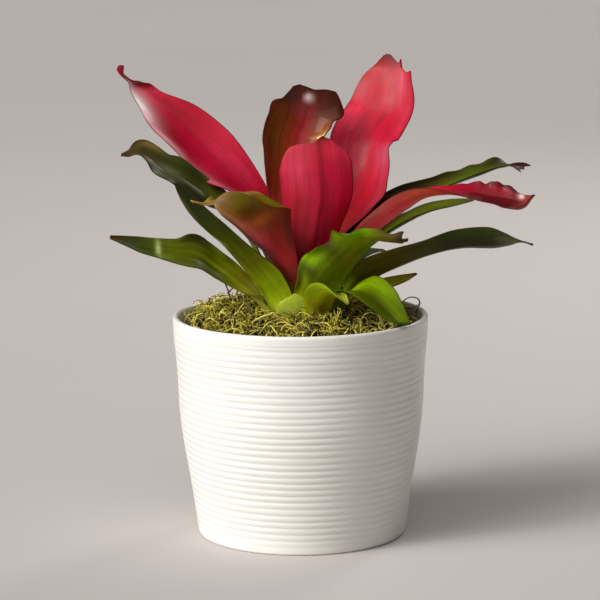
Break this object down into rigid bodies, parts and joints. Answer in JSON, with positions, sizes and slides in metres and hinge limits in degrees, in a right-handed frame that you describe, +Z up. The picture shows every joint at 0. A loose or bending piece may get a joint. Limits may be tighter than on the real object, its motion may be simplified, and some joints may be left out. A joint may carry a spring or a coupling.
{
  "type": "potted bromeliad",
  "caption": "Bromeliad rosette of red and green strap leaves in a tapered, ribbed white ceramic pot with moss over its soil; a table plant.",
  "frame": {"origin": "centre of the pot's flat underside, on the pot's axis", "axes": "+Z up; +X to the viewer's right and +Y away from a viewer who faces the front, where the short pale sheath stands at the foot of the front red leaf"},
  "size_m": [0.2662, 0.1846, 0.296],
  "materials": {
    "pot_glaze": "satin",
    "soil": "matte",
    "stem": "matte",
    "moss": "matte",
    "leaf_red": "satin",
    "leaf_dark_red": "satin",
    "leaf_olive_red": "satin",
    "leaf_green": "satin",
    "leaf_dark_green": "satin",
    "leaf_pale_green": "satin"
  },
  "bodies": {
    "root": {"pot": "pot_glaze", "soil": "soil", "stem": "stem", "moss": "moss", "leaf_heart_right": "leaf_dark_red", "leaf_heart_left": "leaf_dark_red", "leaf_red_front": "leaf_red", "leaf_dark_back": "leaf_dark_red", "leaf_red_left": "leaf_red", "leaf_red_right": "leaf_red", "leaf_red_low_left": "leaf_olive_red", "leaf_red_low_right": "leaf_red", "leaf_green_upper_left": "leaf_green", "leaf_green_mid_left": "leaf_dark_green", "leaf_green_low_left": "leaf_green", "leaf_green_front": "leaf_green", "leaf_green_long_right": "leaf_dark_green", "leaf_green_back_right": "leaf_green", "leaf_green_mid_right": "leaf_green", "leaf_green_small_right": "leaf_green", "leaf_green_drooping": "leaf_green", "leaf_green_short_front": "leaf_green", "leaf_sheath_front": "leaf_pale_green", "leaf_green_back_left": "leaf_green", "leaf_green_back_middle": "leaf_green", "leaf_green_back_low": "leaf_green"}
  },
  "joints": []
}
